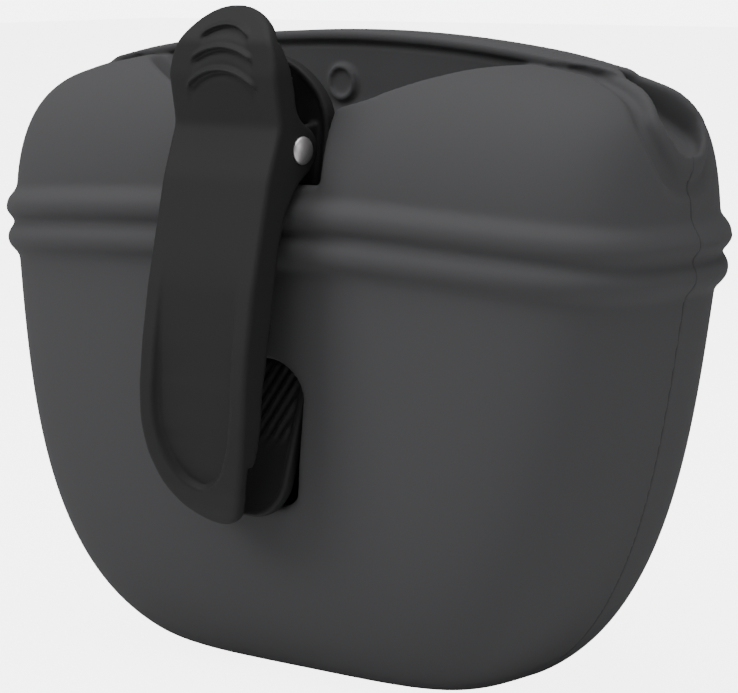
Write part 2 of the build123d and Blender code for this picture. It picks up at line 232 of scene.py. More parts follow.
def net(block, values, relax=2):
    """Points and four-sided faces of a field's zero surface, one point in each cell that it crosses."""
    inside = values < 0
    cells = tuple(n - 1 for n in values.shape)
    count = np.zeros(cells, np.uint8)
    for i, j, k in CORNERS:
        count += inside[i:i + cells[0], j:j + cells[1], k:k + cells[2]]
    crossed = (count > 0) & (count < 8)
    number = np.full(cells, -1, np.int64)
    number[crossed] = np.arange(crossed.sum())
    base = np.argwhere(crossed)
    total, hits = np.zeros(base.shape), np.zeros(len(base))
    corner_values = [values[tuple((base + c).T)] for c in CORNERS]
    for a, b in CELL_EDGES:
        va, vb = corner_values[a], corner_values[b]
        change = (va < 0) != (vb < 0)
        t = np.where(change, va / np.where(change, va - vb, 1), 0)[:, None]
        total += np.where(change[:, None], CORNERS[a] + t * (CORNERS[b] - CORNERS[a]), 0)
        hits += change
    at = base + total / hits[:, None]
    faces = []
    for axis in range(3):
        u, v = (axis + 1) % 3, (axis + 2) % 3
        step = np.eye(3, dtype=int)
        here = inside
        there = np.roll(inside, -1, axis)
        change = here != there
        change[tuple(slice(-1, None) if n == axis else slice(None) for n in range(3))] = False
        for n in (u, v):
            change[tuple(slice(0, 1) if m == n else slice(None) for m in range(3))] = False
            change[tuple(slice(-1, None) if m == n else slice(None) for m in range(3))] = False
        spots = np.argwhere(change)
        turns = ((0, 0), (1, 0), (1, 1), (0, 1))
        ring = [number[tuple((spots - a * step[u] - b * step[v]).T)] for a, b in turns]
        quads = np.stack(ring, 1)
        outward = here[tuple(spots.T)]
        faces.append(np.where(outward[:, None], quads, quads[:, ::-1]))
    faces = np.concatenate(faces)
    ends = np.concatenate([faces, np.roll(faces, -1, 1)]).reshape(-1)
    mates = np.concatenate([np.roll(faces, -1, 1), faces]).reshape(-1)
    degree = np.bincount(ends, minlength=len(at))[:, None]
    for turn in range(relax + 1):
        if turn:
            mean = np.stack([np.bincount(ends, at[mates, n], len(at)) for n in range(3)], 1) / degree
            at = at + 0.5 * (mean - at)
        for _ in range(2):
            slope = np.stack([sample(values, at + d) - sample(values, at - d) for d in 0.5 * np.eye(3)], 1)
            shift = sample(values, at)[:, None] * slope / np.maximum((slope ** 2).sum(1), 1e-6)[:, None]
            at = at - np.clip(shift, -0.4, 0.4)
    points = [np.interp(at[:, n], np.arange(len(axis)), axis) for n, axis in enumerate(block.axes)]
    return np.stack(points, 1) * MM, faces.tolist()


def piece(name, points, faces, material, body, replaced=()):
    """A smooth mesh object that rides on a body and stands for CAD nodes."""
    mesh = bpy.data.meshes.new(name)
    mesh.from_pydata(points.tolist(), [], [tuple(f) for f in faces])
    mesh.update()
    mesh.shade_smooth()
    made = bpy.data.objects.new(name, mesh)
    bpy.context.scene.collection.objects.link(made)
    mesh.materials.append(material)
    if body:
        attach(made, body)
    if replaced:
        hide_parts(*replaced)
    return made


def lathe(profile, segments=48):
    """Closed solid turned about X from (x, radius) pairs that start and end at radius 0."""
    (first, _), *rings, (last, _) = profile
    turns = [2 * pi * s / segments for s in range(segments)]
    points = [(first, 0, 0)]
    for x, radius in rings:
        points += [(x, radius * cos(turn), radius * sin(turn)) for turn in turns]
    points.append((last, 0, 0))
    end = len(points) - 1
    faces = []
    for s in range(segments):
        t = (s + 1) % segments
        faces.append((0, 1 + t, 1 + s))
        for r in range(len(rings) - 1):
            a = 1 + r * segments
            faces.append((a + s, a + t, a + segments + t, a + segments + s))
        a = end - segments
        faces.append((a + s, a + t, end))
    return np.array(points), faces


def wire(route, radius, sides=12):
    """Points and faces of a round wire along a route, closed at both ends."""
    route = [Vector(p) for p in route]
    points, faces = [], []
    side = (route[1] - route[0]).orthogonal().normalized()
    for n, here in enumerate(route):
        ahead = (route[min(n + 1, len(route) - 1)] - route[max(n - 1, 0)]).normalized()
        side = (side - ahead * side.dot(ahead)).normalized()
        other = ahead.cross(side)
        for s in range(sides):
            turn = 2 * pi * s / sides
            points.append(here + radius * (cos(turn) * side + sin(turn) * other))
    for n in range(len(route) - 1):
        for s in range(sides):
            a, b = n * sides + s, n * sides + (s + 1) % sides
            faces.append((a, b, b + sides, a + sides))
    for end, ring, starts in ((route[0], 0, True), (route[-1], len(route) - 1, False)):
        points.append(end)
        hub = len(points) - 1
        for s in range(sides):
            a, b = ring * sides + s, ring * sides + (s + 1) % sides
            faces.append((hub, b, a) if starts else (hub, a, b))
    return np.array([tuple(p) for p in points]), faces


# ---- the moulding ----
def level_curves(z):
    """Half width, back and front depth and both roundness powers of the level sections."""
    drop, above = np.maximum(GROOVE - z, 0), np.maximum(z - GROOVE, 0)
    share = np.minimum(drop / BELT_HEIGHT * BASE_CUT, 0.9995)
    side = (1 - share ** SIDE_ROUND) ** (1 / SIDE_ROUND)
    low = (1 - share ** DEPTH_ROUND) ** (1 / DEPTH_ROUND)
    up = np.clip(above / RIDGE_HEIGHT, 0, 0.9995)
    arch = np.sqrt(np.maximum(RIDGE_HEIGHT - above, 0.02) / RIDGE_FALL)
    high = (1 - up ** DOME_ROUND) ** (1 / DOME_ROUND)
    rounded = (HALF_WIDTH ** -CORNER_POWER + arch ** -CORNER_POWER) ** (-1 / CORNER_POWER)
    across = np.where(z < GROOVE, (HALF_WIDTH - WIDTH_TAPER * drop) * side, rounded)
    depth = np.where(z < GROOVE, low, high)
    powers = [p + (TOP_POWER - p) * up ** 2 for p in (BACK_POWER, FRONT_POWER)]
    return across, (BACK_DEPTH + BACK_SWELL * drop) * depth, FRONT_DEPTH * depth, powers


def shell_field(b):
    """The pouch's plain outer form, without ribs, hollow or recesses."""
    across, behind, ahead, (power_behind, power_ahead) = level_curves(b.z)
    depth = np.where(b.y < 0, behind, ahead)
    power = np.where(b.y < 0, power_behind, power_ahead)
    form = ((np.abs(b.x) / across) ** power + (np.abs(b.y) / depth) ** power) ** (1 / power) - 1
    form = b.distance(form)
    form = both(form, b.z - (DOME_TOP - RIDGE_FALL * b.x ** 2), CREST_ROUND)
    return both(form, -b.z + 0 * b.x, FOOT_ROUND)


def scoop_field(b):
    """The hollow behind the mouth, a bowl that widens upwards."""
    floor, rim = GROOVE + SCOOP_FLOOR, DOME_TOP + SCOOP_OVER
    share = (b.z - floor) / (rim - floor)
    half = SCOOP_HALF * np.interp(share, SCOOP_LEVELS, SCOOP_WIDE)
    deep = SCOOP_DEPTH * np.interp(share, SCOOP_LEVELS, SCOOP_DEEP)
    back = np.maximum(-FLANGE - b.y, 0)
    reach = ((np.abs(b.x) / half) ** SCOOP_POWER + (back / deep) ** SCOOP_POWER) ** (1 / SCOOP_POWER)
    bowl = both(b.distance(reach - 1), b.y + FLANGE + 0 * b.x, SCOOP_SHOULDER)
    return both(bowl, floor - b.z, SCOOP_HEEL)


def recess_frame(b):
    """Distances along, across and out of the teardrop recess at each end of the mouth."""
    top, foot = np.array(POCKET_TOP), np.array(POCKET_FOOT)
    reach = foot - top
    size = sqrt((reach ** 2).sum())
    dx, dz = np.abs(b.x) - top[0], b.z - GROOVE - top[1]
    along = (dx * reach[0] + dz * reach[1]) / size
    out = (-dx * reach[1] + dz * reach[0]) / size
    centre = size - POCKET_RADIUS
    width = POCKET_TIP + (POCKET_RADIUS - POCKET_TIP) * np.clip(along / centre, -0.2, 1)
    flank = (np.abs(b.y) - width) * POCKET_LEAN
    tear = np.where(along > centre, length(along - centre, b.y) - POCKET_RADIUS, flank)
    return along, tear, out


def ribbed(b, shell):
    """The outer form with the two half-round ribs that run round it, a little arched."""
    outer = shell
    for side in (-1, 1):
        middle = GROOVE + side * RIB_PITCH / 2 - RIB_FALL * (b.x / RIB_REACH) ** 2
        proud = RIB_PROUD + (RIB_END_PROUD - RIB_PROUD) * (b.x / RIB_REACH) ** 4
        rib = length(shell + RIB_RADIUS - proud, b.z - middle) - RIB_RADIUS
        outer = either(outer, rib, RIB_BLEND)
    return outer


def mouth_line(b, shell):
    """The bead along the mouth, and the fine groove beside it."""
    beyond = np.abs(b.x) - BEAD_REACH
    crest = DOME_TOP - RIDGE_FALL * b.x ** 2
    taper = (BEAD_OUT - BEAD_END_OUT) * ease(np.abs(b.x), *BEAD_TAPER)
    beside = np.maximum(np.abs(b.y) - (BEAD_OUT - BEAD_ROUND - taper), 0)
    above = np.maximum(np.abs(b.z - crest - BEAD_LIFT) - (BEAD_HALF_TALL - BEAD_ROUND), 0)
    bead = both(length(beside, above) - BEAD_ROUND, beyond, BEAD_FADE)
    over = np.where(b.y > 0, 1, ease(np.abs(b.x), *LINE_RISE))
    under = (1 - over) * (b.z - crest + LINE_DROP) + over * (shell - LINE_SINK)
    line = length(np.abs(b.y) - (BEAD_OUT - LINE_IN + LINE_SHIFT * over - taper), under) - LINE_RADIUS
    return bead, both(line, np.maximum(beyond, crest - LINE_SPAN - b.z), BEAD_FADE)


def end_recess(b, shell):
    """The recess at each end of the mouth, with the bead round it and the groove outside that."""
    along, tear, out = recess_frame(b)
    deep = -(out + RIM_DEPTH)
    rim = length(tear - RIM_OUT, shell - RIM_LIFT) - RIM_RADIUS * ease(along, *RIM_START)
    valley = length(tear - VALLEY_OUT, shell - VALLEY_LIFT) - VALLEY_RADIUS * ease(along, *VALLEY_START)
    pocket = both(tear + 0 * out, -(out + POCKET_SINK), POCKET_ROUND)
    return pocket, both(rim, deep, RIM_FADE), both(valley, deep, RIM_FADE)


def hollow_field(b, shell, scoop, pocket):
    """The room inside, which leaves the mouth's flanges and a wall behind each outer hollow."""
    inner = both(shell + WALL, WALL - b.z, HOLLOW_ROUND)
    flange = both(np.abs(b.y) - FLANGE, FLEX - b.z, 1.0) + 0 * b.x
    for solid in (flange, scoop - WALL, pocket - WALL):
        inner = cut(inner, solid, HOLLOW_EDGE)
    return inner


def moulding_field(b):
    """The whole silicone moulding."""
    shell, scoop = shell_field(b), scoop_field(b)
    bead, line = mouth_line(b, shell)
    pocket, rim, valley = end_recess(b, shell)
    outer = cut(ribbed(b, shell), scoop, SCOOP_EDGE)
    outer = either(cut(outer, line, LINE_EDGE), bead, BEAD_EDGE)
    outer = either(cut(outer, valley, VALLEY_EDGE), rim, RIM_EDGE)
    outer = cut(outer, pocket, POCKET_EDGE)
    whole = cut(outer, hollow_field(b, shell, scoop, pocket), WALL_EDGE)
    axle = length(b.x, b.z - MAGNET_Z)
    boss = both(axle - BOSS_RADIUS, np.abs(b.y) - BOSS_OUT, BOSS_EDGE)
    sunk = np.abs(np.abs(b.y) - BOSS_OUT) - DIMPLE_DEPTH
    dimple = both(axle - BOSS_RADIUS + DIMPLE_RIM, sunk, DIMPLE_ROUND)
    return cut(either(whole, boss, BOSS_EDGE), dimple, DIMPLE_EDGE)


def base_half(z):
    """Half width of the clip's base plate, which narrows to its foot."""
    return BASE_FOOT_HALF + (BASE_HALF - BASE_FOOT_HALF) * ease(z, SLOT_FOOT, SLOT_TOP)


def clip_openings(b, whole):
    """The notch and slot through the back wall, and the relief under the strap between them."""
    flat_x = np.abs(b.x)
    through = b.y + 13.4
    half = base_half(b.z) + SLOT_CLEAR
    lower_top = SLOT_TOP + 0.6 - 3.4 * (b.x / BASE_HALF) ** 4
    slot = both(both(flat_x - half, b.z - lower_top, 1.4), SLOT_FOOT - b.z, 4.0)
    notch = both(flat_x - NOTCH_HALF, NOTCH_FOOT - b.z, 1.6)
    rear = side_curve(BASE_REAR, b.z)
    relief = np.maximum(np.abs(b.y - rear + BASE_THICK / 2) - BASE_THICK / 2 - 0.35, flat_x - half)
    relief = np.maximum(relief, BASE_FOOT - 0.4 - b.z)
    for opening in (both(slot, through, 1.0), both(notch, through, 1.0)):
        whole = cut(whole, opening, 1.1)
    return cut(whole, relief, 0.5)


def half_moulding(side, step):
    """One half of the moulding, behind (-1) or ahead (1) of the parting plane, base to lip."""
    span = (-31.0, 1.4) if side < 0 else (-1.4, 35.0)
    b = Block(
        marks(-69.0, 69.0, lambda x: step),
        marks(*span, lambda y: min(step, 0.12 + 0.3 * abs(y - side * 0.1))),
        marks(-1.5, DOME_TOP + 3, lambda z: step * next(share for low, share in FINENESS if z > low)),
    )
    whole = moulding_field(b)
    if side < 0:
        whole = clip_openings(b, whole)
    axle = length(b.x, b.z - MAGNET_Z)
    deep = SLIT_HALF + MAGNET_SINK + MAGNET_THICK + MAGNET_GAP
    seat = np.maximum(axle - MAGNET_RADIUS - MAGNET_GAP, np.abs(b.y) - deep)
    whole = cut(whole, seat + 0 * whole, MAGNET_EDGE)
    gap = SEAM_HALF + (SLIT_HALF - SEAM_HALF) * ease(b.z, FLEX - SEAM_RISE, FLEX)
    whole = both(whole, gap - side * b.y, SEAM_ROUND)
    return net(b, whole)


# ---- the clip ----
def bar(y, z, start, end, radius):
    """Round-ended bar between two side-view points."""
    (y0, z0), (y1, z1) = start, end
    t = np.clip(((y - y0) * (y1 - y0) + (z - z0) * (z1 - z0)) / ((y1 - y0) ** 2 + (z1 - z0) ** 2), 0, 1)
    return length(y - y0 - t * (y1 - y0), z - z0 - t * (z1 - z0)) - radius


def tongue(b, half, low, taper):
    """Outline of the lever or its panel seen from the front: half-round at the top, half an ellipse below."""
    above = np.clip(b.z, low + taper, LEVER_TOP - LEVER_HALF)
    tall = np.where(b.z < above, taper, half)
    reach = length(b.x / half, (b.z - above) / tall)
    slope = length(b.x / half ** 2, (b.z - above) / tall ** 2)
    return (reach - 1) * (reach + 0.001) / (slope + 0.001 / half)


def pad_ridges(b):
    """Height of the thumb pad's arched ridges over its face, with the hollow under each."""
    raised = 0
    for top, half, drop in PAD_RIDGES:
        radius = (half ** 2 + drop ** 2) / (2 * drop)
        off = length(b.x, b.z - (GROOVE + top - radius)) - radius
        lip = ease(off, -0.3, 0.0) * (1 - ease(off, 0.0, 0.8))
        gutter = ease(off, -2.0, -0.4) * (1 - ease(off, -0.3, 0.0))
        fade = (1 - ease(np.abs(b.x), half - 0.9, half + 0.3)) * (b.z > GROOVE + top - radius)
        raised = raised + (PAD_LIP * lip - PAD_GUTTER * gutter) * fade
    return raised


def ear_pair(b, radius, upper, lower):
    """Side view of the ears: two round-ended bars from the pin to where they leave their part."""
    pin = (PIN_Y, PIN_Z)
    return either(bar(b.y, b.z, pin, upper, radius), bar(b.y, b.z, pin, lower, radius), 2.0)


def pin_hole(b, clear=0.0):
    """The hole that the pin goes through."""
    return length(b.y - PIN_Y, b.z - PIN_Z) - PIN_RADIUS - clear + 0 * b.x


def lever_net(step):
    """The clip's lever: thumb pad, ears and long curved jaw."""
    b = Block(
        marks(-12.4, 12.4, lambda x: step), marks(-41.5, -20.5, lambda y: step),
        marks(LEVER_FOOT - 1.5, LEVER_TOP + 1.5, lambda z: 0.6 * step if z > GROOVE + 21 else step),
    )
    face, rear = side_curve(LEVER_FACE, b.z), side_curve(LEVER_REAR, b.z)
    lean = b.lean(face)
    outline = tongue(b, LEVER_HALF, LEVER_FOOT, LEVER_TAPER)
    panel_foot, panel_taper = LEVER_FOOT + PANEL_FOOT_MARGIN, LEVER_TAPER - PANEL_FOOT_MARGIN
    panel = tongue(b, LEVER_HALF - PANEL_MARGIN, panel_foot, panel_taper)
    sunk = PANEL_DEPTH * ease(-panel, -0.35, 0.45) * ease(-(b.z - GROOVE), 3.0, 24.0)
    front = (face + sunk - pad_ridges(b) - b.y) / lean
    plain = (face - b.y) / lean
    ears = ear_pair(b, EAR_RADIUS, (-29.6, PIN_Z + 2.5), (-30.0, PIN_Z - 4.0))
    body = both(front, either((b.y - rear) / lean, ears, 3.0), CLIP_EDGE)
    body = both(body, outline + 0 * b.y, CLIP_CORNER)
    for walls in (outline + LEVER_SIDE, np.abs(b.x) - (LEVER_HALF - LEVER_SIDE)):
        body = cut(body, np.maximum(plain + LEVER_SKIN, walls), CLIP_CORNER)
    return net(b, cut(body, pin_hole(b, PIN_CLEAR), 0.3))


def base_net(step):
    """The clip's base: the plate that runs under the wall, with its two ears."""
    b = Block(
        marks(-11.4, 11.4, lambda x: step), marks(-32.0, -15.0, lambda y: step),
        marks(BASE_FOOT - 1.5, BASE_TOP + 1.5, lambda z: step),
    )
    rear = side_curve(BASE_REAR, b.z)
    lean = b.lean(rear)
    corner = BASE_CORNER + (BASE_HALF - BASE_CORNER) * ease(b.z, GROOVE - 20, GROOVE + 10)
    over_x = np.abs(b.x) - (base_half(b.z) - corner)
    over_z = np.abs(b.z - (BASE_TOP + BASE_FOOT) / 2) - ((BASE_TOP - BASE_FOOT) / 2 - corner)
    outline = length(np.maximum(over_x, 0), np.maximum(over_z, 0)) - corner
    outline = outline + np.minimum(np.maximum(over_x, over_z), 0)
    front = (rear - BASE_THICK + 0.45 * ease(-outline, 0.9, 1.3) - grip_teeth(b, outline) - b.y) / lean
    body = both(front, (b.y - rear) / lean, CLIP_EDGE)
    body = both(body, outline + 0 * b.y, CLIP_CORNER)
    ears = ear_pair(b, EAR_RADIUS - 0.3, (-19.8, PIN_Z + 0.8), (-20.5, PIN_Z - 3.5))
    ears = both(ears, (b.y - rear) / lean, CLIP_EDGE)
    middle = BASE_EAR_HALF - BASE_EAR_THICK / 2
    ears = both(ears + 0 * b.x, np.abs(np.abs(b.x) - middle) - BASE_EAR_THICK / 2, 0.6)
    return net(b, cut(either(body, ears, 0.8), pin_hole(b), 0.3))


def grip_teeth(b, outline):
    """Height of the slanting grip lines across the plate, just under the slot's top."""
    slope = (b.z - GROOVE) - TOOTH_SLANT * np.abs(b.x) + 38.0
    wave = np.abs((slope + TOOTH_PITCH / 2) % TOOTH_PITCH - TOOTH_PITCH / 2)
    teeth = TOOTH_HIGH * (1 - ease(wave, 0.35, 1.1)) * ease(-outline, 1.5, 2.4)
    return teeth * ease(-(b.z - GROOVE), 19.5, 21.0) * ease(b.z - GROOVE, -34.0, -30.0)


def spring_routes():
    """Centre lines of the wound part with its leg on the base, and of the leg on the lever."""
    half = SPRING_PITCH * SPRING_TURNS / 2
    coil = []
    for n in range(SPRING_TURNS * SPRING_STEPS + 1):
        turn = 2 * pi * n / SPRING_STEPS
        x = -half + SPRING_PITCH * n / SPRING_STEPS
        coil.append((x, PIN_Y + SPRING_RADIUS * sin(turn), PIN_Z + SPRING_RADIUS * cos(turn)))
    leg = [
        (half + 0.3, PIN_Y + 1.6, PIN_Z + 3.0), (half + 0.9, -21.9, PIN_Z + 6.4),
        (half + 1.2, -20.9, PIN_Z + 9.4), (half + 1.6, -21.2, PIN_Z + 10.6),
    ]
    lever_leg = [
        (-half, PIN_Y - 0.2, PIN_Z + SPRING_RADIUS), (-half - 0.2, PIN_Y - 1.7, PIN_Z + 4.2),
        (-half - 0.4, -28.0, PIN_Z + 8.0), (-half - 0.4, -28.3, PIN_Z + 10.5),
    ]
    return coil + leg, lever_leg


# ---- materials ----
def new_group(name, inputs, outputs):
    """Empty shader node group with its sockets and its group input and output nodes."""
    group = bpy.data.node_groups.new(name, "ShaderNodeTree")
    for label, kind, default in inputs:
        socket = group.interface.new_socket(name=label, in_out="INPUT", socket_type=kind)
        socket.default_value = default
    for label, kind in outputs:
        group.interface.new_socket(name=label, in_out="OUTPUT", socket_type=kind)
    return group, group.nodes.new("NodeGroupInput"), group.nodes.new("NodeGroupOutput")


def moulded_grain_group():
    """Fine surface grain with broad, faint drifts of tone, as a moulded part has."""
    group, given, result = new_group(
        "moulded_grain",
        [("Grain Size", "NodeSocketFloat", 0.0004), ("Grain Share", "NodeSocketFloat", 0.5),
         ("Tone Dark", "NodeSocketColor", (0.05, 0.05, 0.05, 1)),
         ("Tone Light", "NodeSocketColor", (0.07, 0.07, 0.07, 1)),
         ("Rough Low", "NodeSocketFloat", 0.5), ("Rough High", "NodeSocketFloat", 0.6)],
        [("Color", "NodeSocketColor"), ("Roughness", "NodeSocketFloat"), ("Height", "NodeSocketFloat")],
    )
    nodes, links = group.nodes, group.links
    place = nodes.new("ShaderNodeTexCoord")
    invert = nodes.new("ShaderNodeMath")
    invert.operation = "DIVIDE"
    invert.inputs[0].default_value = 1.0
    links.new(given.outputs["Grain Size"], invert.inputs[1])
    grain = nodes.new("ShaderNodeTexNoise")
    grain.inputs["Detail"].default_value = 3.0
    links.new(place.outputs["Object"], grain.inputs["Vector"])
    links.new(invert.outputs[0], grain.inputs["Scale"])
    drift = nodes.new("ShaderNodeTexNoise")
    drift.inputs["Scale"].default_value = 38.0
    drift.inputs["Detail"].default_value = 4.0
    links.new(place.outputs["Object"], drift.inputs["Vector"])
    mixed = nodes.new("ShaderNodeMix")
    links.new(given.outputs["Grain Share"], mixed.inputs[0])
    links.new(drift.outputs[0], mixed.inputs[2])
    links.new(grain.outputs[0], mixed.inputs[3])
    colour = nodes.new("ShaderNodeMix")
    colour.data_type = "RGBA"
    spread = nodes.new("ShaderNodeMapRange")
    spread.inputs["From Min"].default_value = 0.35
    spread.inputs["From Max"].default_value = 0.65
    links.new(mixed.outputs[0], spread.inputs["Value"])
    links.new(spread.outputs[0], colour.inputs[0])
    links.new(given.outputs["Tone Dark"], colour.inputs[6])
    links.new(given.outputs["Tone Light"], colour.inputs[7])
    rough = nodes.new("ShaderNodeMapRange")
    rough.inputs["From Min"].default_value = 0.3
    rough.inputs["From Max"].default_value = 0.7
    links.new(drift.outputs[0], rough.inputs["Value"])
    links.new(given.outputs["Rough Low"], rough.inputs["To Min"])
    links.new(given.outputs["Rough High"], rough.inputs["To Max"])
    links.new(colour.outputs[2], result.inputs["Color"])
    links.new(rough.outputs[0], result.inputs["Roughness"])
    links.new(grain.outputs[0], result.inputs["Height"])
    return group


def finish_material(name, group, values, bump, distance, sockets):
    """Principled material fed by the shared grain, with its constants on its own sockets."""
    material = bpy.data.materials.new(name)
    material.use_nodes = True
    nodes, links = material.node_tree.nodes, material.node_tree.links
    shader = nodes["Principled BSDF"]
    effect = nodes.new("ShaderNodeGroup")
    effect.node_tree = group
    for label, value in values.items():
        effect.inputs[label].default_value = value
    for label, value in sockets.items():
        shader.inputs[label].default_value = value
    bumps = nodes.new("ShaderNodeBump")
    bumps.inputs["Strength"].default_value = bump
    bumps.inputs["Distance"].default_value = distance
    links.new(effect.outputs["Height"], bumps.inputs["Height"])
    links.new(effect.outputs["Color"], shader.inputs["Base Color"])
    links.new(effect.outputs["Roughness"], shader.inputs["Roughness"])
    links.new(bumps.outputs["Normal"], shader.inputs["Normal"])
    return material


def shade(colour, factor):
    """A colour made darker or lighter."""
    return tuple(min(1.0, c * factor) for c in colour[:3]) + (1.0,)


def pouch_material():
    """Matte dark grey silicone."""
    found = bpy.data.materials.get("pouch_silicone")
    if found:
        return found
    colour = bpy.context.scene.treat_pouch_body.silicone_colour
    values = {"Grain Size": 0.0005, "Grain Share": 0.35, "Tone Dark": shade(colour, 0.93),
              "Tone Light": shade(colour, 1.07), "Rough Low": 0.52, "Rough High": 0.62}
    return finish_material("pouch_silicone", shared_grain(), values, 0.12, 0.0001,
                           {"Specular IOR Level": 0.19, "Sheen Weight": 0.02, "Sheen Roughness": 0.5})


def clip_material():
    """Near-black nylon with a fine sparked grain."""
    found = bpy.data.materials.get("clip_plastic")
    if found:
        return found
    colour = bpy.context.scene.treat_pouch_clip.plastic_colour
    values = {"Grain Size": 0.0003, "Grain Share": 0.8, "Tone Dark": shade(colour, 0.4),
              "Tone Light": shade(colour, 2.0), "Rough Low": 0.35, "Rough High": 0.45}
    return finish_material("clip_plastic", shared_grain(), values, 0.9, 0.0001, {"Specular IOR Level": 0.26})


def metal_material(name, colour, low, high):
    """Bare metal with faint tool marks."""
    found = bpy.data.materials.get(name)
    if found:
        return found
    values = {"Grain Size": 0.0006, "Grain Share": 0.6, "Tone Dark": shade(colour, 0.88),
              "Tone Light": shade(colour, 1.05), "Rough Low": low, "Rough High": high}
    return finish_material(name, shared_grain(), values, 0.25, 0.00005, {"Metallic": 1.0})


def shared_grain():
    """The grain group, built once."""
    return bpy.data.node_groups.get("moulded_grain") or moulded_grain_group()


def fine(step):
    """A grid step, passed on unchanged."""
    return step * 1.0


# ---- settings ----
class PouchSettings(bpy.types.PropertyGroup):
    silicone_colour: FloatVectorProperty(
        name="Silicone colour", description="Base colour of the moulding", subtype="COLOR", size=3,
        default=(0.023, 0.023, 0.0232), min=0, max=1,
    )
    mesh_step: FloatProperty(
        name="Mesh step", description="Grid step of the moulding's mesh, in millimetres",
        default=0.6, min=0.4, max=2.0,
    )


class ClipSettings(bpy.types.PropertyGroup):
    plastic_colour: FloatVectorProperty(
        name="Plastic colour", description="Base colour of the clip", subtype="COLOR", size=3,
        default=(0.004, 0.004, 0.0041), min=0, max=1,
    )
    mesh_step: FloatProperty(
        name="Mesh step", description="Grid step of the clip's meshes, in millimetres",
        default=0.33, min=0.2, max=1.0,
    )


class StudioSettings(bpy.types.PropertyGroup):
    camera_distance: FloatProperty(
        name="Camera distance", description="Camera to the middle of the ribs' groove",
        default=0.4774, min=0.1, subtype="DISTANCE", unit="LENGTH",
    )
    camera_azimuth: FloatProperty(
        name="Camera azimuth", description="Turn of the camera round the pouch",
        default=radians(40.855), subtype="ANGLE",
    )
    camera_elevation: FloatProperty(
        name="Camera elevation", description="Height of the camera over the ribs, as an angle",
        default=radians(5.233), subtype="ANGLE",
    )
    camera_roll: FloatProperty(
        name="Camera roll", description="Tilt of the picture", default=radians(-0.355), subtype="ANGLE",
    )
    room_light: FloatProperty(
        name="Room light", description="Strength of the light from all round", default=0.2, min=0,
    )
    backdrop_glow: FloatProperty(
        name="Backdrop glow", description="Brightness of the plain backdrop", default=6.0, min=0,
    )
    lens: FloatProperty(
        name="Lens", description="Focal length in millimetres on a 36 mm sensor", default=146.03, min=20,
    )
    floor_colour: FloatVectorProperty(
        name="Floor colour", description="Colour of the floor and the room", subtype="COLOR", size=3,
        default=(0.75, 0.75, 0.75), min=0, max=1,
    )


# ---- operators ----
def build_half(context, side, name, lip):
    """Build one half of the moulding in place of the two solids that the CAD part has there."""
    points, faces = half_moulding(side, fine(context.scene.treat_pouch_body.mesh_step))
    return piece(name, points, faces, pouch_material(), None, ("pouch_body", lip))


class PouchBackHalf(bpy.types.Operator):
    """Build the clip side of the moulding, from the base to the back lip"""

    bl_idname = "treat_pouch.back_half"
    bl_label = "Back half of the moulding"

    def execute(self, context):
        made = build_half(context, -1, "pouch_back_half", "back_lip")
        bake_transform(made)
        return {"FINISHED"}


class PouchFrontHalf(bpy.types.Operator):
    """Build the far side of the moulding, from the base to the front lip"""

    bl_idname = "treat_pouch.front_half"
    bl_label = "Front half of the moulding"

    def execute(self, context):
        made = build_half(context, 1, "pouch_front_half", "front_lip")
        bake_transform(made)
        return {"FINISHED"}


class PouchMagnets(bpy.types.Operator):
    """Build the disc magnet let into each lip"""

    bl_idname = "treat_pouch.magnets"
    bl_label = "Lip magnets"

    def execute(self, context):
        nickel = metal_material("magnet_nickel", (0.62, 0.61, 0.58), 0.18, 0.3)
        near, wide = SLIT_HALF + MAGNET_SINK, MAGNET_RADIUS
        profile = [
            (near, 0), (near, wide - 0.25), (near + 0.08, wide - 0.08), (near + 0.25, wide),
            (near + MAGNET_THICK, wide), (near + MAGNET_THICK, 0),
        ]
        for node, side in (("back_magnet", -1), ("front_magnet", 1)):
            points, faces = lathe(profile)
            turned = np.stack([points[:, 1] * side, points[:, 0] * side, points[:, 2] + MAGNET_Z], 1) * MM
            outward = [f[::-1] for f in faces]
            lip = node.replace("magnet", "lip")
            piece(f"{node}_disc", turned, outward, nickel, lip, (node,))
        return {"FINISHED"}


class ClipLever(bpy.types.Operator):
    """Build the clip's lever with its thumb pad, ears and curved jaw"""

    bl_idname = "treat_pouch.clip_lever"
    bl_label = "Clip lever"

    def execute(self, context):
        points, faces = lever_net(fine(context.scene.treat_pouch_clip.mesh_step))
        piece("clip_lever_shell", points, faces, clip_material(), "lever", ("clip_lever",))
        return {"FINISHED"}


class ClipBase(bpy.types.Operator):
    """Build the clip's base plate with its ears and grip teeth"""

    bl_idname = "treat_pouch.clip_base"
    bl_label = "Clip base"

    def execute(self, context):
        points, faces = base_net(fine(context.scene.treat_pouch_clip.mesh_step))
        piece("clip_base_plate", points, faces, clip_material(), "pouch", ("clip_base",))
        return {"FINISHED"}


class ClipPin(bpy.types.Operator):
    """Build the steel pin with its domed heads"""

    bl_idname = "treat_pouch.clip_pin"
    bl_label = "Clip pin"

    def execute(self, context):
        steel = metal_material("pin_steel", (0.8, 0.77, 0.77), 0.25, 0.4)
        neck = LEVER_HALF + PIN_CLEAR
        turns = np.linspace(0.0, pi / 2 - 0.12, 8)
        dome = [(neck + PIN_HEAD_THICK * sin(t), PIN_HEAD_RADIUS * cos(t)) for t in turns]
        right = [(neck, PIN_RADIUS), (neck, PIN_HEAD_RADIUS - 0.1), *dome, (neck + PIN_HEAD_THICK, 0)]
        left = [(-x, r) for x, r in reversed(right)]
        points, faces = lathe(left + right)
        points = (points + (0, PIN_Y, PIN_Z)) * MM
        piece("clip_pin_rivet", points, faces, steel, "pouch", ("clip_pin",))
        return {"FINISHED"}


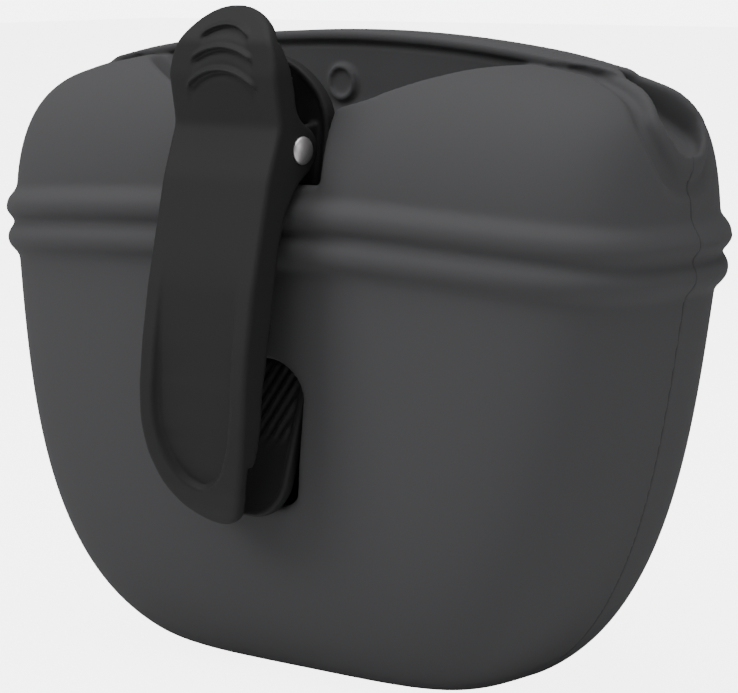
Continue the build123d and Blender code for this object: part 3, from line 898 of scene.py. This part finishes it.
class ClipSpring(bpy.types.Operator):
    """Build the torsion spring wound round the pin"""

    bl_idname = "treat_pouch.clip_spring"
    bl_label = "Clip spring"

    def execute(self, context):
        steel = metal_material("spring_steel", (0.55, 0.55, 0.55), 0.25, 0.35)
        coil, leg = spring_routes()
        for name, route, body in (("clip_spring_coil", coil, "pouch"), ("clip_spring_leg", leg, "lever")):
            points, faces = wire(route, SPRING_WIRE / 2)
            piece(name, points * MM, faces, steel, body, ("clip_spring",))
        return {"FINISHED"}


class PouchStudio(bpy.types.Operator):
    """Set out the floor, the room's light, the lamps and the camera"""

    bl_idname = "treat_pouch.studio"
    bl_label = "Studio"

    def execute(self, context):
        settings = context.scene.treat_pouch_studio
        mesh = bpy.data.meshes.new("studio_floor")
        reach = 3.0
        corners = [(-reach, -reach, 0), (reach, -reach, 0), (reach, reach, 0), (-reach, reach, 0)]
        mesh.from_pydata(corners, [], [(0, 1, 2, 3)])
        floor = bpy.data.objects.new("studio_floor", mesh)
        context.scene.collection.objects.link(floor)
        paint = bpy.data.materials.new("studio_floor")
        paint.use_nodes = True
        shader = paint.node_tree.nodes["Principled BSDF"]
        shader.inputs["Base Color"].default_value = tuple(settings.floor_colour) + (1.0,)
        shader.inputs["Roughness"].default_value = 0.9
        brighten(paint.node_tree, shader.outputs["BSDF"], settings.backdrop_glow - 1.0)
        mesh.materials.append(paint)
        world = bpy.data.worlds.new("studio_room")
        world.use_nodes = True
        room = world.node_tree.nodes["Background"]
        room.inputs["Color"].default_value = (1.0, 1.0, 1.0, 1.0)
        room.inputs["Strength"].default_value = settings.room_light
        brighten(world.node_tree, room.outputs["Background"], settings.backdrop_glow - settings.room_light)
        context.scene.world = world
        middle = Vector((0, 0, GROOVE * MM))
        for name, place, size, power in LAMPS:
            lamp = bpy.data.lights.new(name, "AREA")
            lamp.size = size
            lamp.energy = power
            holder = bpy.data.objects.new(name, lamp)
            context.scene.collection.objects.link(holder)
            holder.location = place
            holder.rotation_euler = (middle - Vector(place)).to_track_quat("-Z", "Y").to_euler()
        place_camera(context, settings, middle)
        return {"FINISHED"}


def brighten(tree, shader, glow):
    """Add a plain white glow that only a direct view sees: the backdrop is pale and the light stays soft."""
    nodes, links = tree.nodes, tree.links
    results = ("ShaderNodeOutputMaterial", "ShaderNodeOutputWorld")
    result = next(node for node in nodes if node.bl_idname in results)
    seen = nodes.new("ShaderNodeLightPath")
    share = nodes.new("ShaderNodeMath")
    share.operation = "MULTIPLY"
    share.inputs[1].default_value = glow
    light = nodes.new("ShaderNodeEmission")
    total = nodes.new("ShaderNodeAddShader")
    links.new(seen.outputs["Is Camera Ray"], share.inputs[0])
    links.new(share.outputs[0], light.inputs["Strength"])
    links.new(shader, total.inputs[0])
    links.new(light.outputs[0], total.inputs[1])
    links.new(total.outputs[0], result.inputs["Surface"])


def place_camera(context, settings, middle):
    """Camera off the clip side, a little above the ribs, aimed under them."""
    turn, lift = settings.camera_azimuth, settings.camera_elevation
    back = Vector((sin(turn) * cos(lift), -cos(turn) * cos(lift), sin(lift)))
    aim = middle + Vector((2.74, -0.76, -20.47)) * MM
    data = bpy.data.cameras.new("studio_camera")
    data.sensor_width = 36.0
    data.lens = settings.lens
    data.clip_start = 0.01
    camera = bpy.data.objects.new("studio_camera", data)
    context.scene.collection.objects.link(camera)
    camera.location = middle + back * settings.camera_distance
    look = (aim - camera.location).to_track_quat("-Z", "Y").to_matrix()
    camera.rotation_euler = (look @ Matrix.Rotation(settings.camera_roll, 3, "Z")).to_euler()
    context.scene.camera = camera


class PouchPanel(bpy.types.Panel):
    """Lists the pouch's pieces"""

    bl_idname = "VIEW3D_PT_treat_pouch"
    bl_label = "Treat Pouch"
    bl_space_type = "VIEW_3D"
    bl_region_type = "UI"
    bl_category = "Treat Pouch"

    def draw(self, context):
        for group in ("treat_pouch_body", "treat_pouch_clip", "treat_pouch_studio"):
            box = self.layout.box()
            settings = getattr(context.scene, group)
            for name in settings.__annotations__:
                box.prop(settings, name)
        for operator in OPERATORS:
            self.layout.operator(operator.bl_idname)


SETTINGS = (PouchSettings, ClipSettings, StudioSettings)
OPERATORS = (
    PouchBackHalf, PouchFrontHalf, PouchMagnets, ClipLever, ClipBase, ClipPin, ClipSpring, PouchStudio,
)
CLASSES = SETTINGS + OPERATORS + (PouchPanel,)


def register():
    """Register the add-on's classes and settings."""
    for kind in CLASSES:
        bpy.utils.register_class(kind)
    bpy.types.Scene.treat_pouch_body = PointerProperty(type=PouchSettings)
    bpy.types.Scene.treat_pouch_clip = PointerProperty(type=ClipSettings)
    bpy.types.Scene.treat_pouch_studio = PointerProperty(type=StudioSettings)


def unregister():
    """Remove the add-on's classes and settings."""
    for name in ("treat_pouch_body", "treat_pouch_clip", "treat_pouch_studio"):
        delattr(bpy.types.Scene, name)
    for kind in reversed(CLASSES):
        bpy.utils.unregister_class(kind)


def main():
    """Build every piece and the studio."""
    register()
    for operator in OPERATORS:
        group, name = operator.bl_idname.split(".")
        getattr(getattr(bpy.ops, group), name)()


if __name__ == "__main__":
    main()
